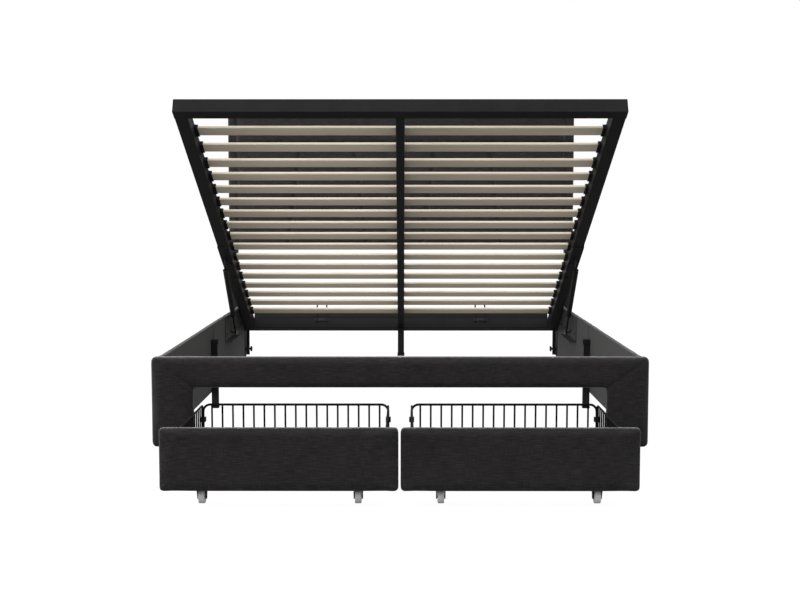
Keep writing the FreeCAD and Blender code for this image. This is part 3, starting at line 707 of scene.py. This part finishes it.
def make_upholstery():
    """Every padded panel, swollen, sewn and finished. Gives back the headboard's."""
    foot = foot_panel_blank()
    rails = {side: rail_blanks(side) for side in ("left", "right")}
    drawers = {
        side: front_blank("drawer_pad", "drawer_front_cover_" + side, DRAWER_EDGE, VOXEL)
        for side in ("left", "right")
    }
    headboard = front_blank("headboard_pad", "headboard_cover", PANEL_EDGE, WIDE_VOXEL)
    forward = Vector((0, -1, 0))
    pads = [
        (foot, forward, -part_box("foot_panel_covers")[1].y, SWELL),
        (headboard, forward, -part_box("headboard_cover")[1].y, SWELL),
    ]
    for side, pair in rails.items():
        aside = Vector((1 if side == "right" else -1, 0, 0))
        inner = min(abs(corner.x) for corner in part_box("side_rail_covers_" + side))
        pads += [(pad, aside, inner, RAIL_SWELL) for pad in pair]
    for side, pad in drawers.items():
        pads.append((pad, forward, -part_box("drawer_front_cover_" + side)[1].y, SWELL))
    swell(pads)
    rails = {side: joined("rail_upholstery_" + side, pair) for side, pair in rails.items()}
    for pad in (foot, headboard, *rails.values(), *drawers.values()):
        soften(pad)
    press_lines(headboard, "headboard_cover", headboard_lines(), CHANNEL_DEPTH, CHANNEL_SPREAD)
    press_lines(foot, "foot_panel_covers", mitre_lines(), MITRE_DEPTH, MITRE_SPREAD)
    square_opening(foot)

    foot.name = "foot_panel_upholstery"
    finish_piece(foot, LINEN_FRONT, "bed_base", "charcoal_linen", "foot_panel_covers")
    headboard.name = "headboard_upholstery"
    finish_piece(headboard, LINEN_FRONT, "bed_base", "charcoal_linen", "headboard_cover")
    for side, rail in rails.items():
        finish_piece(rail, LINEN_SIDE, "bed_base", "charcoal_linen", "side_rail_covers_" + side)
    for side, pad in drawers.items():
        pad.name = "drawer_upholstery_" + side
        cover = "drawer_front_cover_" + side
        finish_piece(pad, LINEN_FRONT, "drawer_" + side, "charcoal_linen", cover)
    return headboard


# Stitches and staples: one tree lays short rods along the edges of a mesh

def rod_row_tree():
    tree = Tree("rod_row", {
        "Pitch": "Float",
        "Half Length": "Float",
        "Radius": "Float",
        "Finish": "Material",
    })
    given = tree.given
    path = tree.add("GeometryNodeMeshToCurve", {"Mesh": given["Geometry"]}, "Curve")
    steps = {"Curve": path, "Length": given["Pitch"]}
    spaced = tree.add("GeometryNodeResampleCurve", steps, "Curve", mode="LENGTH")
    way = tree.add("GeometryNodeInputTangent", {}, "Tangent")
    turn = tree.add("FunctionNodeAlignRotationToVector", {"Vector": way}, "Rotation", axis="Z")
    ball_sizes = {"Segments": ROD_SEGMENTS, "Rings": ROD_RINGS, "Radius": 1.0}
    ball = tree.add("GeometryNodeMeshUVSphere", ball_sizes, "Mesh")
    sizes = {"X": given["Radius"], "Y": given["Radius"], "Z": given["Half Length"]}
    scale = tree.add("ShaderNodeCombineXYZ", sizes, "Vector")
    row = {"Points": spaced, "Instance": ball, "Rotation": turn, "Scale": scale}
    tree.close(tree.add("GeometryNodeInstanceOnPoints", row, "Instances"))
    return tree


def path_mesh(name, runs):
    """Mesh of edges alone, one run of points after the other."""
    points = []
    lines = []
    for run in runs:
        start = len(points)
        points += run
        lines += [(i, i + 1) for i in range(start, len(points) - 1)]
    mesh = bpy.data.meshes.new(name)
    mesh.from_pydata(points, lines, [])
    return mesh


def lay_rods(tree, name, path, sizes, finish, slot):
    """One piece of rods along a path on the bed base."""
    rods = tree.run(name, path, {**sizes, "Finish": finish})
    shade_smooth(rods.data)
    finish_piece(rods, finish, "bed_base", slot)


def make_stitches(headboard, tree):
    """Thread in every sewn line of the headboard, laid on the padding."""
    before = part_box("headboard_cover")[0].y - SEAM_STEP
    inward = Vector((0, 1, 0))
    padding = BVHTree.FromPolygons(
        [v.co for v in headboard.data.vertices], [f.vertices for f in headboard.data.polygons]
    )
    runs = []
    for a, b in headboard_lines():
        count = math.ceil((b - a).length / SEAM_STEP)
        run = []
        for i in range(1, count):
            spot = a + (b - a) * (i / count)
            hit = padding.ray_cast(Vector((spot.x, before, spot.y)), inward)[0]
            if hit:
                run.append(hit)
        runs.append(run)
    path = path_mesh("seams", runs)
    lay_rods(tree, "headboard_stitches", path, STITCH, THREAD, "charcoal_linen")


def make_staples(tree):
    """Staples round the lining on the headboard's back."""
    low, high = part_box("headboard_board")
    x0, x1 = low.x + STAPLE_FROM_EDGE, high.x - STAPLE_FROM_EDGE
    z0, z1 = low.z + STAPLE_FROM_EDGE, high.z - STAPLE_FROM_EDGE
    corners = [(x0, high.y, z0), (x1, high.y, z0), (x1, high.y, z1), (x0, high.y, z1)]
    sides = [[a, b] for a, b in zip(corners, corners[1:] + corners[:1])]
    path = path_mesh("staple_lines", sides)
    lay_rods(tree, "headboard_staples", path, STAPLE, BLACK_ZINC, "zinc_steel")


# Slats: one tree lays a row of rounded boards along the platform

def closed_box(node):
    """Box of a platform node turned down to its closed place."""
    down = LIFTED.inverted()
    laid = [down @ v.co for v in nodes[node].data.vertices]
    low = Vector([min(v[i] for v in laid) for i in range(3)])
    high = Vector([max(v[i] for v in laid) for i in range(3)])
    return low, high


def slat_tree():
    """Geometry tree: a rounded board swept along X and repeated along Y."""
    tree = Tree("slat_row", {
        "Start": "Vector",
        "Step": "Vector",
        "Count": "Int",
        "Length": "Vector",
        "Width": "Float",
        "Thickness": "Float",
        "Round": "Float",
        "Finish": "Material",
    })
    given = tree.given
    line = {"Count": given["Count"], "Start Location": given["Start"], "Offset": given["Step"]}
    row = tree.add("GeometryNodeMeshLine", line, "Mesh")
    sides = {"Width": given["Width"], "Height": given["Thickness"]}
    outline = tree.add("GeometryNodeCurvePrimitiveQuadrilateral", sides, "Curve")
    corner = {"Curve": outline, "Radius": given["Round"], "Count": SLAT_ROUND_POINTS}
    rounded = tree.add("GeometryNodeFilletCurve", corner, "Curve", mode="POLY")
    spine = tree.add("GeometryNodeCurvePrimitiveLine", {"End": given["Length"]}, "Curve")
    sweep = {"Curve": spine, "Profile Curve": rounded, "Fill Caps": True}
    board = tree.add("GeometryNodeCurveToMesh", sweep, "Mesh")
    repeat = {"Points": row, "Instance": board}
    tree.close(tree.add("GeometryNodeInstanceOnPoints", repeat, "Instances"))
    return tree


def make_slats():
    """Both rows of slats, made lying flat and then lifted with the platform."""
    tree = slat_tree()
    for side in ("left", "right"):
        low, high = closed_box("slats_" + side)
        first = low.y + SLAT_WIDTH / 2
        third = first + FRONT_SLATS * FRONT_SLAT_PITCH
        rows = []
        for start, pitch, count in (
            (first, FRONT_SLAT_PITCH, FRONT_SLATS),
            (third, SLAT_PITCH, SLAT_COUNT - FRONT_SLATS),
        ):
            values = {
                "Start": (low.x, start, (low.z + high.z) / 2),
                "Step": (0.0, pitch, 0.0),
                "Count": count,
                "Length": (high.x - low.x, 0.0, 0.0),
                "Width": SLAT_WIDTH,
                "Thickness": high.z - low.z,
                "Round": SLAT_ROUND,
                "Finish": SLAT_BIRCH,
            }
            rows.append(tree.run("slat_row", bpy.data.meshes.new("slat_row"), values))
        boards = joined("slat_row_" + side, rows)
        boards.data.set_sharp_from_angle(angle=SHARP_TURN)
        boards.data.transform(LIFTED)
        finish_piece(boards, SLAT_BIRCH, "lift_platform", "slat_veneer", "slats_" + side)


# Turned pieces: the struts' caps and the hand knobs

def scallop(form, lobes):
    """Draws the head of a knob in between its lobes."""
    for vert in form.verts:
        if math.hypot(vert.co.x, vert.co.y) > KNOB_STEM_RADIUS + NEAR:
            wave = math.sin(math.atan2(vert.co.y, vert.co.x) * lobes / 2)
            share = 1 - KNOB_DIP * wave ** 2
            vert.co.x *= share
            vert.co.y *= share


def turned(name, outline, closed, place, lobes=0):
    """Piece turned about Z from (radius, height) points, with lobes if asked, then put in place."""
    form = bmesh.new()
    ring = [form.verts.new((radius, 0, height)) for radius, height in outline]
    ends = ring[1:] + ring[:1] if closed else ring[1:]
    lines = [form.edges.new(pair) for pair in zip(ring, ends)]
    steps = LOBED_STEPS if lobes else TURNED_STEPS
    bmesh.ops.spin(
        form, geom=ring + lines, axis=(0, 0, 1), cent=(0, 0, 0), steps=steps, angle=math.tau
    )
    bmesh.ops.remove_doubles(form, verts=form.verts, dist=NEAR)
    bmesh.ops.recalc_face_normals(form, faces=form.faces)
    if lobes:
        scallop(form, lobes)
    form.transform(place)
    mesh = bpy.data.meshes.new(name)
    form.to_mesh(mesh)
    form.free()
    shade_smooth(mesh)
    mesh.set_sharp_from_angle(angle=TURNED_SHARP)
    return new_object(name, mesh)


def pointing(place, way):
    """Matrix that puts a turned piece at a place with its axis along the way given."""
    return Matrix.Translation(place) @ way.to_track_quat("Z", "X").to_matrix().to_4x4()


def make_strut_caps():
    """Cap with a seal at the mouth of each strut's tube."""
    lip = STRUT_CAP_RADIUS - STRUT_SEAL_RADIUS
    bevel = lip / 3
    mouth = STRUT_TUBE_START - lip / 2
    rear = STRUT_TUBE_START + STRUT_CAP_LENGTH
    outline = [
        (STRUT_SEAL_RADIUS, mouth),
        (STRUT_CAP_RADIUS - bevel, mouth),
        (STRUT_CAP_RADIUS, STRUT_TUBE_START),
        (STRUT_CAP_RADIUS, rear),
        (STRUT_CAP_RADIUS - bevel, rear + bevel),
        (STRUT_SEAL_RADIUS, rear + bevel),
    ]
    for side in ("left", "right"):
        foot = Vector(joints["strut_swing_" + side]["pos_m"])
        along = Vector(joints["strut_stroke_" + side]["axis"])
        cap = turned("strut_cap_" + side, outline, True, pointing(foot, along))
        finish_piece(cap, PLASTIC_BLACK, "strut_tube_" + side, "black_plastic")


def make_knobs():
    """Star knobs on the insides of the headboard's brackets."""
    tip = KNOB_STEM + KNOB_HEAD
    outline = [
        (0, -KNOB_SUNK),
        (KNOB_STEM_RADIUS, -KNOB_SUNK),
        (KNOB_STEM_RADIUS, KNOB_STEM - KNOB_BEVEL),
        (KNOB_RADIUS - KNOB_BEVEL, KNOB_STEM),
        (KNOB_RADIUS, KNOB_STEM + KNOB_BEVEL),
        (KNOB_RADIUS, tip - KNOB_BEVEL),
        (KNOB_RADIUS - KNOB_BEVEL, tip),
        (0, tip),
    ]
    x, y, z = KNOB_PLACE
    for side, sign in (("left", -1), ("right", 1)):
        place = pointing(Vector((sign * x, y, z)), Vector((-sign, 0, 0)))
        knob = turned("bracket_knob_" + side, outline, False, place, KNOB_LOBES)
        finish_piece(knob, PLASTIC_BLACK, "bed_base", "black_plastic")


# Stage: pale floor, soft light and the camera

def make_floor():
    mesh = bpy.data.meshes.new("floor")
    corners = panel_corners(-FLOOR_REACH, FLOOR_REACH, -FLOOR_REACH, FLOOR_REACH)
    mesh.from_pydata([(x, y, 0) for x, y in corners], [], [(0, 1, 2, 3)])
    floor = new_object("floor", mesh)
    pale = Finish("pale_floor")
    pale.surface({
        "Base Color": (FLOOR_SHADE, FLOOR_SHADE, FLOOR_SHADE, 1),
        "Roughness": FLOOR_ROUGHNESS,
        "Specular IOR Level": 0.0,
        "Emission Color": WHITE,
        "Emission Strength": FLOOR_GLOW,
    })
    mesh.materials.append(pale.material)
    floor.visible_diffuse = False
    floor.visible_glossy = False


def make_sky():
    """White all round, dimmer towards the ground."""
    world = bpy.data.worlds.new("studio")
    bpy.context.scene.world = world
    world.use_nodes = True
    tree = world.node_tree
    sky = tree.nodes["Background"]
    way = tree.nodes.new("ShaderNodeTexCoord")
    parts = tree.nodes.new("ShaderNodeSeparateXYZ")
    height = tree.nodes.new("ShaderNodeMapRange")
    height.inputs["From Min"].default_value = SKY_FADE[0]
    height.inputs["From Max"].default_value = SKY_FADE[1]
    height.inputs["To Min"].default_value = GROUND_GLOW
    tree.links.new(way.outputs["Generated"], parts.inputs[0])
    tree.links.new(parts.outputs["Z"], height.inputs["Value"])
    tree.links.new(height.outputs["Result"], sky.inputs["Strength"])
    sky.inputs["Color"].default_value = WHITE


def make_lamps():
    for name, place, target, size, power, mirrored in LAMPS:
        light = bpy.data.lights.new(name, "AREA")
        light.energy = power
        light.size = size
        lamp = new_object(name, light)
        lamp.visible_glossy = mirrored
        lamp.location = place
        aim = Vector(target) - Vector(place)
        lamp.rotation_euler = aim.to_track_quat("-Z", "Y").to_euler()


def make_camera():
    scene = bpy.context.scene
    lens = bpy.data.cameras.new("camera")
    camera = new_object("camera", lens)
    lens.sensor_fit = "HORIZONTAL"
    lens.sensor_width = SENSOR
    lens.lens = SENSOR * FOCAL_PX / IMAGE_WIDTH
    lens.clip_end = CAMERA_REACH
    pitch = math.atan((IMAGE_HEIGHT / 2 - HORIZON_V) / FOCAL_PX)
    turn = math.atan((VANISH_U - IMAGE_WIDTH / 2) / FOCAL_PX)
    camera.location = CAMERA_PLACE
    camera.rotation_euler = (math.pi / 2 - pitch, 0, turn)
    scene.camera = camera
    scene.view_settings.view_transform = "Standard"


# CAD nodes: their finishes, coats and eased edges

def weld_seams(part):
    weld = part.modifiers.new("weld", "WELD")
    weld.merge_threshold = NEAR


def dip_wires(part):
    """Coats a wire panel all round."""
    weld_seams(part)
    coat = part.modifiers.new("coat", "DISPLACE")
    coat.strength = WIRE_COAT
    coat.mid_level = 0.0


def ease_edges(part, width):
    weld_seams(part)
    ease = part.modifiers.new("ease", "BEVEL")
    ease.width = width
    ease.segments = EASE_SEGMENTS
    ease.limit_method = "ANGLE"
    ease.angle_limit = SHARP_TURN


def dress_frame():
    """Finishes every CAD node by its slot, coats the wire backs and eases plain edges."""
    for part in frame["record"]["subparts"]:
        mesh = nodes[part["node"]].data
        mesh.materials.clear()
        mesh.materials.append(SLOT_FINISH[part["material_slot"]])
    for side in ("left", "right"):
        nodes["lift_base_" + side].data.materials[0] = PLATE_GREY
        dip_wires(nodes["basket_back_" + side])
    for width, names in EASED.items():
        for name in names:
            ease_edges(nodes[name], width)
    for name in nodes:
        if name.startswith("caster_wheels"):
            ease_edges(nodes[name], WHEEL_EDGE)


dress_frame()
padded_headboard = make_upholstery()
rods = rod_row_tree()
make_stitches(padded_headboard, rods)
make_staples(rods)
make_slats()
make_strut_caps()
make_knobs()
make_floor()
make_sky()
make_lamps()
make_camera()
